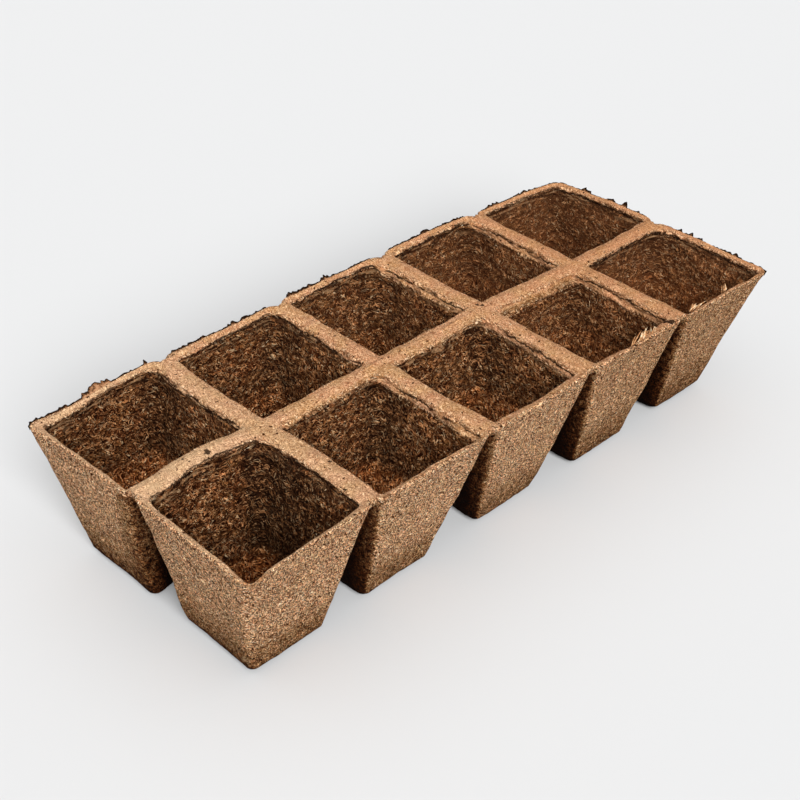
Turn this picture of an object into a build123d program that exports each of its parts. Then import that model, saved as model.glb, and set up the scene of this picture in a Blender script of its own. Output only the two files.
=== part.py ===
from build123d import *
import os

# A strip of ten square growing pots, moulded together from peat and wood fibre.
# Each pot is a tapered cup with its own half of the webs that join it to its neighbours,
# so the cups meet face to face on the tear lines, where a gardener pulls the strip apart.
# The origin is on the ground under the middle of the strip, with X along the two rows,
# Y across them and Z up.

# The cups of the strip, with the near row first
column_count = 5
row_letters = ("b", "a")

# Outer form of one cup: flat walls that widen from the base, where they turn under, to the rim
height = 50.0
base_width = 27.6
rim_width = 48.8
outer_radius = 3.6
base_bevel = 2.6
base_radius = 5.0

# Walls, floor and the hollow inside
wall_thickness = 2.8
floor_thickness = 3.0
hollow_radius = 3.4
hollow_bevel = 2.0
drain_hole_diameter = 8.0

# The shoulder that slopes from the rim into the hollow
shoulder_width = 1.1

# The web between two cups: the gap that it spans, and how far its ends stop short of the outer rim
rim_gap = 1.2
web_depth = 2.4
notch_depth = 1.8

# From the middle of one cup to the middle of the next
pitch = rim_width + rim_gap

# How far a cut runs past the surfaces it opens
overrun = 5.0


def outer_width_at(level):
    """Width across the outer walls at a height above the ground."""
    return base_width + (rim_width - base_width) * level / height


def tapered_block(lower_level, lower_width, upper_width):
    """A flat-sided block that widens up to the rim: the same trapezium seen along X and along Y."""
    outline = Polygon(
        (-lower_width / 2, lower_level),
        (lower_width / 2, lower_level),
        (upper_width / 2, height),
        (-upper_width / 2, height),
        align=None,
    )
    seen_along_y = extrude(Plane.XZ * outline, upper_width / 2, both=True)
    seen_along_x = extrude(Plane.YZ * outline, upper_width / 2, both=True)
    return seen_along_y & seen_along_x


def edges_at_level(solid, level):
    """The edges of a solid that lie wholly on one horizontal plane."""
    return solid.edges().filter_by_position(Axis.Z, level, level)


def rounded_block(lower_level, lower_width, upper_width, radius):
    """A tapered block with its four uprights rounded."""
    block = tapered_block(lower_level, lower_width, upper_width)
    uprights = block.edges() - edges_at_level(block, height) - edges_at_level(block, lower_level)
    return fillet(uprights, radius)


def pyramid_widths(lower_level, lower_width, bevel):
    """Lower and upper width of a blunt pyramid that rises at 45 degrees and bevels a form's foot."""
    foot_width = lower_width - 2 * bevel
    return foot_width, foot_width + 2 * (height - lower_level)


def outer_form():
    """The cup as a full block, with round uprights and walls that turn under at the base."""
    walls = rounded_block(0, base_width, rim_width, outer_radius)
    return walls & rounded_block(0, *pyramid_widths(0, base_width, base_bevel), base_radius)


def hollow():
    """The space for soil, parallel to the outer walls, turned in at the floor as they are."""
    floor_width = outer_width_at(floor_thickness) - 2 * wall_thickness
    walls = rounded_block(floor_thickness, floor_width, rim_width - 2 * wall_thickness, hollow_radius)
    return walls & tapered_block(floor_thickness, *pyramid_widths(floor_thickness, floor_width, hollow_bevel))


def drain_hole():
    """The hole in the middle of the floor that lets water out."""
    return Cylinder(drain_hole_diameter / 2, 2 * (floor_thickness + overrun))


def web_plate(joined_sides):
    """The flat web round a cup: to the tear line on joined sides, and short of the rim on free ones."""
    reach = {side: rim_width / 2 - notch_depth for side in ("west", "east", "south", "north")}
    for side in joined_sides:
        reach[side] = pitch / 2
    plate = Box(
        reach["west"] + reach["east"],
        reach["south"] + reach["north"],
        web_depth,
        align=(Align.CENTER, Align.CENTER, Align.MAX),
    )
    return Pos((reach["east"] - reach["west"]) / 2, (reach["north"] - reach["south"]) / 2, height) * plate


def make_cup(joined_sides):
    """One whole pot about its own centre, with the webs of its joined sides."""
    cup = outer_form() + web_plate(joined_sides) - hollow() - drain_hole()
    rim_face = cup.faces().sort_by(Axis.Z)[-1]
    mouth = rim_face.inner_wires()[0]
    return chamfer(mouth.edges(), shoulder_width)


def joined_sides_of(column, row):
    """Which sides of a cup have a neighbour in the strip."""
    neighbours = {
        "west": column > 0,
        "east": column < column_count - 1,
        "south": row > 0,
        "north": row < len(row_letters) - 1,
    }
    return [side for side, present in neighbours.items() if present]


def place_of(column, row):
    """Where a cup's centre stands in the strip."""
    along = (column - (column_count - 1) / 2) * pitch
    across = (row - (len(row_letters) - 1) / 2) * pitch
    return Pos(along, across, 0)


os.makedirs("parts", exist_ok=True)
for row, letter in enumerate(row_letters):
    for column in range(column_count):
        cup = place_of(column, row) * make_cup(joined_sides_of(column, row))
        export_step(cup, f"parts/pot_{letter}{column + 1}.step")
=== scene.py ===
"""Dresses a strip of ten square pots of moulded peat fibre, with its floor, light and camera.

Lengths are millimetres, in the frame's axes, until a mesh is made: X runs along the two rows of
pots, Y from the near row b to the far row a, and Z up from the ground under the strip's middle.
"""

import math

import bpy
import numpy as np
from mathutils import Matrix


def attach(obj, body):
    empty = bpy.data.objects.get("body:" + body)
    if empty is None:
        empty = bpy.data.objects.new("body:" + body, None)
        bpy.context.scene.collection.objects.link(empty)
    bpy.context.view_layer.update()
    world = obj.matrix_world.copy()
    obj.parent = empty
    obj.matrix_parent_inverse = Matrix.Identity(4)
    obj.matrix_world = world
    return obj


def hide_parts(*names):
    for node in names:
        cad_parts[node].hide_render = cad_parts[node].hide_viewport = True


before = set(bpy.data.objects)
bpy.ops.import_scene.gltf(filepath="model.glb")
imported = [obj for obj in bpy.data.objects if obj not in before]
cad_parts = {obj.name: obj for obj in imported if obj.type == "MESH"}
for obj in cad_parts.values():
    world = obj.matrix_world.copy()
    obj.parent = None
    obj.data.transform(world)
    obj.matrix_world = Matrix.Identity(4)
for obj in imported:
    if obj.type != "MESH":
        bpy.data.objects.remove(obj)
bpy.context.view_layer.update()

METRES = 0.001
TINY = 1e-6

# The strip and its cups, as the solids have them
ROW_LETTERS = ("b", "a")
COLUMN_COUNT = 5
PITCH = 50.0
HEIGHT = 50.0
BASE_HALF = 13.8
RIM_HALF = 24.4
OUTER_RADIUS = 3.6
BASE_BEVEL = 2.6
WALL = 2.8
FLOOR_THICKNESS = 3.0
HOLLOW_RADIUS = 3.4
HOLLOW_BEVEL = 2.0
HOLE_RADIUS = 4.0
SHOULDER = 1.1
WEB_DEPTH = 2.4
NOTCH_DEPTH = 1.8
WALL_SLOPE = (RIM_HALF - BASE_HALF) / HEIGHT

# The corners of the base, tighter than the solids': where the wall meets the bevel, and at the ground
KNEE_RADIUS = 2.2
FOOT_RADIUS = 1.6

# The mesh of one pot: samples along a wall and round a corner, and the steps between its rows
WALL_SAMPLES = 45
CORNER_SAMPLES = 11
FINE_STEP = 0.4
MIDDLE_STEP = 0.6
COARSE_STEP = 1.15
FINE_DEPTH = 6.0
MIDDLE_END = 42.0


# Noise


# Factors and shifts that scramble whole numbers into chance values
CELL_FACTORS = (73856093, 19349663, 83492791)
SEED_FACTOR = 40503
SEED_START = 977
SCRAMBLES = ((13, 1274126177), (17, 2246822519))
LAST_SHIFT = 9
TOP_VALUE = 0xFFFF

# Added to every place, so that no cell has a negative number
CELL_SHIFT = 1000.0


def lattice_values(cells, seed):
    """One fixed value from -1 to 1 for each whole-number cell."""
    cells = cells.astype(np.uint64)
    mixed = np.uint64(seed * SEED_FACTOR + SEED_START)
    for axis, factor in enumerate(CELL_FACTORS):
        mixed = mixed ^ cells[:, axis] * np.uint64(factor)
    for shift, factor in SCRAMBLES:
        mixed = (mixed ^ (mixed >> np.uint64(shift))) * np.uint64(factor)
    return ((mixed >> np.uint64(LAST_SHIFT)) & np.uint64(TOP_VALUE)).astype(float) / (TOP_VALUE / 2) - 1.0


def noise(points, size, seed):
    """Smooth noise from -1 to 1 with features about one size across."""
    at = points / size + CELL_SHIFT
    cells = np.floor(at).astype(np.int64)
    share = at - cells
    share = share * share * (3 - 2 * share)
    total = np.zeros(len(points))
    for corner in np.ndindex(2, 2, 2):
        weights = np.where(np.array(corner) == 1, share, 1 - share)
        total += weights.prod(axis=1) * lattice_values(cells + np.array(corner), seed)
    return total


def rough(points, size, seed, layers=3):
    """Layers of noise, each half as large and half as strong as the one before."""
    return sum(noise(points, size / 2**k, seed + k) / 2**k for k in range(layers))


def lerp(low, high, share):
    return low + (high - low) * share


def smooth_step(low, high, values):
    """Rises smoothly from 0 at low to 1 at high."""
    share = np.clip((values - low) / (high - low), 0, 1)
    return share * share * (3 - 2 * share)


# Rings: outlines in plan with one point per sample, from the south end of the east wall round


def ring_samples():
    """The side of each sample, its share along it from -1 to 1, and its share round the corner after it."""
    side, along, corner = [], [], []
    for k in range(4):
        side += [k] * (WALL_SAMPLES + CORNER_SAMPLES)
        along += list(np.linspace(-1, 1, WALL_SAMPLES)) + [1.0] * CORNER_SAMPLES
        corner += [0.0] * WALL_SAMPLES + [(c + 1) / (CORNER_SAMPLES + 1) for c in range(CORNER_SAMPLES)]
    return np.array(side), np.array(along), np.array(corner)


SIDE, ALONG, CORNER = ring_samples()
SAMPLE_COUNT = len(SIDE)

# Corner radii of squares of half-width 1, which stand for the walls of a hollow of any size
SOFT_CORNER = 0.3
TIGHT_CORNER = 0.12

# On such a square: over how far one wall gives way to the next, and from how far out a point is on a wall
WALL_BLEND = 0.15
ON_WALL = 0.86

# How far the painted shade of the far corner reaches along the north wall, and the width of the painted line
# of shade down the corner
NORTH_SHADE_REACH = 0.26
PAINTED_LINE_WIDTH = 0.13


def turned(out, along):
    """Points given as the distance out of their own side and the distance along it."""
    cosine = np.array([1, 0, -1, 0])[SIDE]
    sine = np.array([0, 1, 0, -1])[SIDE]
    return np.stack([out * cosine - along * sine, out * sine + along * cosine], axis=1)


def round_square(half, radius):
    """A square with round corners. Half its width may differ on the east, north, west and south sides,
    and its radius at the far, left, near and right corners."""
    halves, radii = np.broadcast_to(half, 4), np.broadcast_to(radius, 4)
    here, following = halves[SIDE], halves[(SIDE + 1) % 4]
    after, before = radii[SIDE], radii[SIDE - 1]
    angle = CORNER * math.pi / 2
    out = here - after + after * np.cos(angle)
    on_wall = lerp(before - halves[SIDE - 1], following - after, (ALONG + 1) / 2)
    along = np.where(CORNER > 0, following - after + after * np.sin(angle), on_wall)
    return turned(out, along)


def circle(radius):
    """A circle, its samples in the same directions as those of a square."""
    square = round_square(1.0, SOFT_CORNER)
    return radius * square / np.linalg.norm(square, axis=1)[:, None]


def web_corner(share, half, free_first):
    """Where a web's end meets a free side: round the cup, along the web's end, then along the tear line."""
    arc_share, end_share = 7 / 12, 9 / 12
    straight = half - OUTER_RADIUS
    notch = RIM_HALF - NOTCH_DEPTH
    stop = math.acos((notch - straight) / OUTER_RADIUS)
    share = share if free_first else 1 - share
    if share <= arc_share:
        angle = stop * share / arc_share
        out, along = straight + OUTER_RADIUS * math.cos(angle), straight + OUTER_RADIUS * math.sin(angle)
    elif share <= end_share:
        start = straight + OUTER_RADIUS * math.sin(stop)
        out = notch
        along = start + (PITCH / 2 - start) * (share - arc_share) / (end_share - arc_share)
    else:
        out = notch + (RIM_HALF - OUTER_RADIUS - notch) * (share - end_share) / (1 - end_share)
        along = PITCH / 2
    return (out, along) if free_first else (along, out)


def cell_outline(joined, half):
    """The outer line of a cup with its webs: tear lines on joined sides, and half a width on free ones."""
    straight = RIM_HALF - OUTER_RADIUS
    out, along = np.zeros(SAMPLE_COUNT), np.zeros(SAMPLE_COUNT)
    for k in range(SAMPLE_COUNT):
        here, after = joined[SIDE[k]], joined[(SIDE[k] + 1) % 4]
        share = CORNER[k]
        if share == 0:
            out[k] = PITCH / 2 if here else half
            along[k] = ALONG[k] * (straight if here else half - OUTER_RADIUS)
        elif here and after:
            corner_run = PITCH / 2 - straight
            out[k] = PITCH / 2 - corner_run * max(0.0, 2 * share - 1)
            along[k] = straight + corner_run * min(1.0, 2 * share)
        elif not here and not after:
            angle = share * math.pi / 2
            out[k] = half - OUTER_RADIUS + OUTER_RADIUS * math.cos(angle)
            along[k] = half - OUTER_RADIUS + OUTER_RADIUS * math.sin(angle)
        else:
            out[k], along[k] = web_corner(share, half, free_first=not here)
    return turned(out, along)


def ring_run():
    """Distance round the lip up to each sample, from the near corner."""
    start = 3 * (WALL_SAMPLES + CORNER_SAMPLES) - CORNER_SAMPLES // 2
    ring = np.roll(round_square(inner_half(HEIGHT), HOLLOW_RADIUS), -start, axis=0)
    steps = np.linalg.norm(np.diff(ring, axis=0), axis=1)
    return np.roll(np.concatenate([[0.0], np.cumsum(steps)]), start)


def wall_share(side):
    """1 on one wall, 0 on the others, and a smooth change round its corners."""
    ring = round_square(1.0, SOFT_CORNER)
    out, across = (ring[:, 0], ring[:, 1]) if side == "east" else (ring[:, 1], ring[:, 0])
    return smooth_step(-WALL_BLEND, WALL_BLEND, out - np.abs(across))


def corner_shade_painted(reach):
    """How much shade is painted on the felt round the far corner of a hollow, with its own reach along the
    east wall.
    """
    ring = round_square(1.0, TIGHT_CORNER)
    east = np.exp(-((1 - ring[:, 1]) / reach) ** 4) * (ring[:, 0] > ON_WALL)
    north = np.exp(-((1 - ring[:, 0]) / NORTH_SHADE_REACH) ** 2) * (ring[:, 1] > ON_WALL)
    return np.maximum(east, north)


def painted_corner_line():
    """A narrow line of painted shade down the far corner of a hollow."""
    ring = round_square(1.0, TIGHT_CORNER)
    return np.exp(-((2 - ring[:, 0] - ring[:, 1]) / PAINTED_LINE_WIDTH) ** 2)


def outer_half(level):
    return BASE_HALF + WALL_SLOPE * level


def inner_half(level):
    return outer_half(level) - WALL


# One pot as a grid of rows: up the hollow, over the rim and down the outside


def spaced(start, stop, step):
    """Levels from start towards stop, evenly spaced and without the last one."""
    count = max(1, int(round(abs(stop - start) / step)))
    return np.linspace(start, stop, count, endpoint=False)


class Rows:
    """Rows of a pot, each a ring at its levels, with its parts: felt, skin, and depth below the lip."""

    def __init__(self):
        self.rings, self.levels, self.felt, self.skin, self.below = [], [], [], [], []

    def add(self, ring, level, felt, skin, below):
        self.rings.append(ring)
        columns = ((self.levels, level), (self.felt, felt), (self.skin, skin), (self.below, below))
        for values, value in columns:
            values.append(np.broadcast_to(np.asarray(value, float), SAMPLE_COUNT))


# The radius of the lip at its far, left, near and right corners, and how much it grows as the lip turns over
LIP_RADII = (4.2, 1.2, 0.6, 1.4)
RADIUS_GAIN = 0.6

# The level where those radii set in, and how far below the fine rows the shifts of a lip set in
LIP_BLEND_START = 20.0
SHIFT_BLEND = 4.0

# A pressed rim: its width, and how far its hollow widens below it
THIN_RIM = 0.9
THIN_BEVEL = 1.2

# Depths and bulges of the rim, the web, the base and its hole
CROWN = 0.45
LIP_DROP = 1.5
UNDER_DROP = 1.0
UNDER_SAG = 0.2
KNEE_BLEND = 40.0
FOOT_BULGE = 0.35
FOOT_SINK = 0.1
HOLE_LEVELS = (0.5, 1.5, 2.5)
HOLE_LIP = 0.3

# How many rows lie on the floor, round the lip, on the rim and under the base
FLOOR_ROWS = 10
LIP_ROWS = 6
TOP_ROWS = 9
BASE_ROWS = 8

# Depth below the lip on the floor. Past the lip it turns negative: at the edge of the rim, under a web, and
# on the ground
FLOOR_BELOW = HEIGHT - FLOOR_THICKNESS
EDGE_BELOW = -4.0
UNDER_BELOW = -6.0
GROUND_BELOW = UNDER_BELOW - HEIGHT


# How thin the rims are pressed on the near, east and north sides: 0 is not at all and 1 is THIN_RIM
NEAR_THINNESS = {"b1": 1.1, "b2": 0.85, "b3": 0.1, "b4": 0.4, "b5": 0.95}
EAST_THINNESS = {"a5": 0.6, "b5": 0.85}
NORTH_THINNESS = {"a1": 0.45, "a5": 0.3}

# The radius of a lip at its far and near corners, where it is wider than usual
FAR_RADII = {"b1": 5.5, "a3": 8.0, "a4": 6.0, "b5": 8.0}
NEAR_RADII = {"b1": 1.3}

# Where a lip stands off its even line: the place from the pot's centre, its reach and the shift
LIP_SHIFTS = {
    "a1": ((-21.6, 21.6, 13, 1.5, -1.5), (22, 0, 26, -0.4, 0)),
    "a2": ((-20.5, 20.5, 12, 0.8, -0.9),),
    "b1": ((-21.6, 21.6, 13, 1.5, -1.6), (-23, -23, 7, -0.15, -0.15), (22, -22, 8, -0.2, 1.8)),
    "b2": ((-22, -22, 12, 0.5, 1.1), (-22, 4, 16, 0.5, 0)),
    "b3": ((-21, -21, 14, 1.2, 1.6), (20, -21, 12, -1.9, 0.8)),
    "b4": ((-21, -21, 12, 0.3, 0.8), (20, -21, 12, -0.8, 1.6)),
}


def thin_sides(name, joined):
    """How thin the east, north, west and south rims of a pot are. The free west ends are pressed fully."""
    tables = (EAST_THINNESS, NORTH_THINNESS, {}, NEAR_THINNESS)
    thin = np.array([table.get(name, 0) for table in tables], float)
    thin[2] = not joined[2]
    return thin


def lip_shifted(name, ring, amount):
    """A ring after the shifts of its pot's lip, at some share of their full size."""
    moved = ring.copy()
    for x, y, reach, dx, dy in LIP_SHIFTS.get(name, ()):
        away = np.hypot(ring[:, 0] - x, ring[:, 1] - y)
        moved += (amount * np.exp(-(away / reach) ** 2))[:, None] * np.array([dx, dy])
    return moved


def pot_rows(name, joined):
    """All rows of a pot, and the numbers of the first and last row on the tear lines."""
    rows = Rows()
    thin = thin_sides(name, joined)
    lip_radii = np.array(LIP_RADII)
    lip_radii[0] = FAR_RADII.get(name, lip_radii[0])
    lip_radii[2] = NEAR_RADII.get(name, lip_radii[2])
    floor_ring = round_square(inner_half(FLOOR_THICKNESS) - HOLLOW_BEVEL, HOLLOW_RADIUS)
    foot_level = FLOOR_THICKNESS + HOLLOW_BEVEL
    wall_top = HEIGHT - LIP_DROP
    hole_ring, hole_lip = circle(HOLE_RADIUS), circle(HOLE_RADIUS + HOLE_LIP)
    for level in HOLE_LEVELS:
        rows.add(hole_ring, level, 1, 0, HEIGHT)
    for share in np.linspace(0, 1, FLOOR_ROWS, endpoint=False):
        rows.add(lerp(hole_lip, floor_ring, share), FLOOR_THICKNESS, 1, 0, FLOOR_BELOW)
    foot_ring = round_square(inner_half(foot_level), HOLLOW_RADIUS)
    for share in (0, 1 / 3, 2 / 3):
        level = lerp(FLOOR_THICKNESS, foot_level, share)
        rows.add(lerp(floor_ring, foot_ring, share), level, 1, 0, FLOOR_BELOW - 1)
    fine_start = wall_top - FINE_DEPTH
    coarse, fine = spaced(foot_level, fine_start, COARSE_STEP), spaced(fine_start, wall_top, FINE_STEP)
    for level in np.concatenate([coarse, fine]):
        radii = lerp(HOLLOW_RADIUS, lip_radii, smooth_step(LIP_BLEND_START, wall_top, level))
        near_lip = smooth_step(fine_start - SHIFT_BLEND, wall_top, level)
        half = inner_half(level) + thin * THIN_BEVEL * smooth_step(fine_start, wall_top, level)
        rows.add(lip_shifted(name, round_square(half, radii), near_lip), level, 1, 0, HEIGHT - level)

    # The lip turns over in a quarter circle
    lip_start = inner_half(wall_top) + thin * THIN_BEVEL
    lip_end = lerp(inner_half(HEIGHT) + SHOULDER, RIM_HALF - THIN_RIM, thin)
    for share in np.linspace(0, 1, LIP_ROWS, endpoint=False):
        angle = share * math.pi / 2
        half = lerp(lip_start, lip_end, 1 - math.cos(angle))
        level = wall_top + (LIP_DROP - CROWN) * math.sin(angle)
        ring = lip_shifted(name, round_square(half, lip_radii + RADIUS_GAIN * share), 1)
        rows.add(ring, level, 1 - share, share, LIP_DROP * (1 - share))

    # The crowned top, out to the tear line or over the outer edge of the rim
    on_web = on_tear_line(joined)
    lip_ring = lip_shifted(name, round_square(lip_end, lip_radii + RADIUS_GAIN), 1)
    edge_ring = cell_outline(joined, RIM_HALF)
    for share in np.linspace(0, 1, TOP_ROWS, endpoint=False):
        web_level = HEIGHT - CROWN * (1 - share) ** 2
        rim_level = HEIGHT - CROWN * (2 * share - 1) ** 2
        level = np.where(on_web, web_level, rim_level)
        skin = np.where(on_web, 1.0, 1 - smooth_step(0.3, 0.9, share))
        rows.add(lerp(lip_ring, edge_ring, share), level, 0, skin, EDGE_BELOW * share)
    first_edge = len(rows.rings)
    for share in (0, 0.25, 0.6, 1):
        web_level = HEIGHT - WEB_DEPTH * share
        level = np.where(on_web, web_level, HEIGHT - lerp(CROWN, WEB_DEPTH, share))
        skin = np.where(on_web, 1 - share, 0)
        below = lerp(EDGE_BELOW, UNDER_BELOW, share)
        rows.add(cell_outline(joined, outer_half(web_level)), level, 0, skin, below)
    last_edge = len(rows.rings) - 1

    # Under the web, while the free sides go on down the wall
    web_foot = HEIGHT - WEB_DEPTH
    under_level = web_foot - UNDER_DROP
    under_ring = cell_outline(joined, outer_half(web_foot))
    for share in (0.4, 0.8):
        free_level = lerp(web_foot, under_level, share)
        level = np.where(on_web, web_foot - UNDER_SAG * share, free_level)
        ring = lerp(under_ring, round_square(outer_half(free_level), OUTER_RADIUS), share)
        rows.add(ring, level, 0, 0, UNDER_BELOW)
    middle = spaced(under_level, MIDDLE_END, MIDDLE_STEP)
    coarse = spaced(MIDDLE_END, BASE_BEVEL, COARSE_STEP)
    for level in np.concatenate([middle, coarse]):
        radius = lerp(KNEE_RADIUS, OUTER_RADIUS, smooth_step(0, KNEE_BLEND, level))
        rows.add(round_square(outer_half(level), radius), level, 0, 0, level + GROUND_BELOW)

    # The bevel bulges a little on its way to the ground, and the base is flat
    knee_ring = round_square(outer_half(BASE_BEVEL), KNEE_RADIUS)
    foot_ring = round_square(BASE_HALF - BASE_BEVEL, FOOT_RADIUS)
    for share in (0, 0.25, 0.5, 0.75, 1):
        bulge = FOOT_BULGE * math.sin(share * math.pi)
        ring = lerp(knee_ring, foot_ring, share) * (1 + bulge / BASE_HALF)
        rows.add(ring, lerp(BASE_BEVEL, 0, share) * (1 - FOOT_SINK * bulge), 0, 0, GROUND_BELOW)
    for share in np.linspace(0, 1, BASE_ROWS)[1:]:
        rows.add(lerp(foot_ring, hole_lip, share), 0, 0, 0, GROUND_BELOW)
    return rows, first_edge, last_edge


def on_tear_line(joined):
    """Which samples of the outer line lie on a tear line."""
    return (np.abs(cell_outline(joined, RIM_HALF)) > PITCH / 2 - TINY).any(axis=1)


# Shape of the real strip


# How far the base of each pot leans along X and Y
BASE_LEANS = {
    "b1": (1.1, -0.2), "b2": (-2.7, 1.0), "b3": (-0.7, 1.5), "b4": (-1.2, 0.0), "b5": (-1.9, 0.2),
    "a1": (0.2, -2.6), "a2": (0.0, 0.5), "a3": (0.5, 0.0), "a4": (0.0, 0.0), "a5": (-0.5, 0.5),
}
LEAN_POWER = 1.5

# How far the pale skin of the rim runs down into each hollow on its north and east walls, and on the others
SKIN_REACH = {
    "b1": (0.7, 1.2), "b2": (1.2, 3.4), "b3": (1.2, 3.2), "b4": (3.6, 4.2), "b5": (1.2, 1.4),
    "a1": (0.9, 2.4), "a2": (1.0, 2.0), "a3": (0.9, 3.6), "a4": (1.0, 3.8), "a5": (1.0, 1.2),
}
NEAR_REACH = 0.8

# Over how far the skin fades into the felt: where it is soft, on some north walls, and elsewhere
SKIN_FADE = {"b2": 1.2, "b3": 1.0, "b4": 2.2}
SHORT_FADE = 0.3

# How strong the painted shadow line under the lip is on the north and east walls
LIP_SHADOWS = {
    "b1": (0.9, 1.0), "b2": (0.0, 0.0), "b3": (0.0, 0.0), "b4": (0.0, 0.0), "b5": (1.0, 0.9),
    "a1": (0.7, 1.0), "a2": (0.8, 0.6), "a3": (1.0, 0.0), "a4": (0.9, 0.0), "a5": (0.7, 0.7),
}

# Painted shade in the far corner of each hollow: its reach along the east wall, in halves of that wall, and
# its strength
PAINTED_CORNER_SHADES = {
    "b1": (1.5, 1.0), "b2": (0.7, 0.8), "b3": (0.7, 0.7), "b4": (0.6, 0.5), "b5": (0.5, 0.4),
    "a1": (0.7, 0.8), "a2": (0.7, 0.7), "a3": (0.6, 0.55), "a4": (0.6, 0.45), "a5": (1.0, 0.4),
}

# Painted light low in each hollow: the felt is made lighter and redder there. The depth where that starts,
# and its strength
PAINTED_DEEP_LIGHTS = {
    "b1": (32.0, 1.0), "b2": (25.0, 1.0), "b3": (20.0, 0.75), "b4": (15.0, 0.35), "b5": (12.0, 0.3),
    "a1": (24.0, 0.9), "a2": (23.0, 0.6), "a3": (20.0, 0.45), "a4": (16.0, 0.3), "a5": (14.0, 0.2),
}
PAINTED_LIGHT_FADE = 7.0

# How even the colour of the felt is
CALM = {"a3": 0.1, "a4": 0.3, "a5": 0.45, "b4": 0.15, "b5": 0.35}

# Soft pushes on the whole strip: the place, its reach and the shift, each along X, Y and Z
PUSHES = (
    (-100, 0, 50, 15, 0.0, 1.5, 0.3), (-124, -48, 50, 14, 0.5, -1.0, 0.0),
    (-124, -49, 50, 9, 0.0, 0.0, -1.1), (-122, 49, 50, 12, -0.9, -0.1, -1.1),
    (-106, 49, 50, 15, 0.0, -0.5, -0.7), (-124, 30, 28, 26, -1.5, 0.0, 0.0),
    (124, -49, 50, 14, 1.4, -1.1, 0.0), (-75, -25, 50, 14, 0.8, 0.0, 0.0),
    (-114, 11, 0, 13, -0.1, -3.6, 0.0), (-122, 2, 34, 13, 0.0, -1.4, 0.0),
    (-114, 37, 0, 10, -0.4, 0.0, 0.0), (-114, -11, 6, 10, -0.9, 1.4, 0.0),
    (-113, -14, 0, 8, 0.2, 0.0, 1.3), (-114, 49, 50, 12, 0.0, -0.6, -0.5),
    (-124, 44, 42, 12, -0.4, 0.0, 0.0), (-10, 49, 50, 22, 0.0, 0.4, 0.3),
    (60, 49, 50, 20, 0.0, 0.5, 0.5), (-75, 25, 50, 20, -1.2, 0.0, 0.0),
    (122, 49, 50, 10, 0.0, -0.5, -0.8), (-64, -27, 2, 13, -1.4, 0.0, 0.0),
    (-36, -39, 12, 14, -0.9, 0.0, 0.0), (36, -27, 2, 12, -0.8, 0.0, 0.0),
    (86, -27, 2, 12, -1.6, 0.0, 0.0), (-25, 0, 50, 15, 0.3, 0.7, 0.4),
    (25, 0, 50, 15, 0.2, 0.5, 0.3), (124, 15, 50, 20, 0.9, 0.0, 0.6),
    (124, -20, 50, 22, 1.0, 0.0, 0.8),
)

# The low arch of the far side: its middle along X, its reach, and its shift near and far
ARCH_MIDDLE = 32.0
ARCH_REACH = 50.0
NEAR_ARCH = (0.0, 0.5, 0.5)
FAR_ARCH = (0.0, 0.8, 0.3)


def pushed(points):
    """Points after the soft pushes that bend the rims and webs, and the low arch of the strip's far side."""
    moved = points.copy()
    for x, y, z, reach, *shift in PUSHES:
        distance = np.linalg.norm(points - np.array([x, y, z]), axis=1)
        moved += np.exp(-(distance / reach) ** 2)[:, None] * np.array(shift)
    arch = np.exp(-((points[:, 0] - ARCH_MIDDLE) / ARCH_REACH) ** 2) * smooth_step(20, HEIGHT, points[:, 2])
    far = smooth_step(-10, 49, points[:, 1])[:, None]
    return moved + arch[:, None] * (np.array(NEAR_ARCH) + far * FAR_ARCH)


def leaned(points, lean):
    """Points after the base of their pot is shifted sideways, and the rim left in place."""
    share = np.clip(1 - points[:, 2] / HEIGHT, 0, 1) ** LEAN_POWER
    return points + np.outer(share, (lean[0], lean[1], 0.0))


# Painted shade on the outer walls: light they lose near the ground, and more of it on the west walls: how
# much, and the levels between which it fades out
FOOT_SHADES = ((0.58, 0.0, 24.0), (0.44, 0.4, 4.0))
WEST_SHADES = ((0.14, 0.0, 46.0), (0.3, 1.0, 6.0))
MOST_FOOT_SHADE = 0.94

# Painted shade between two pots, less of it toward a corner and least of all there on the first far pot
BETWEEN_SHADE = 0.985
CORNER_SHADE = 0.84
FIRST_CORNER_SHADE = 0.5
CORNER_REACH = 5.0

# Painted shade toward the east end, and on the first far pot beside the near row: its reaches low and high
FAR_END_SHADE = 0.22
BESIDE_SHADE = 0.5
BESIDE_REACHES = (6.0, 1.0)
MIDDLE_LEVEL = 25.0


def low_shade(shades, levels):
    """The sum of shades that fade out between two levels each."""
    return sum(strength * (1 - smooth_step(low, high, levels)) for strength, low, high in shades)


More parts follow.
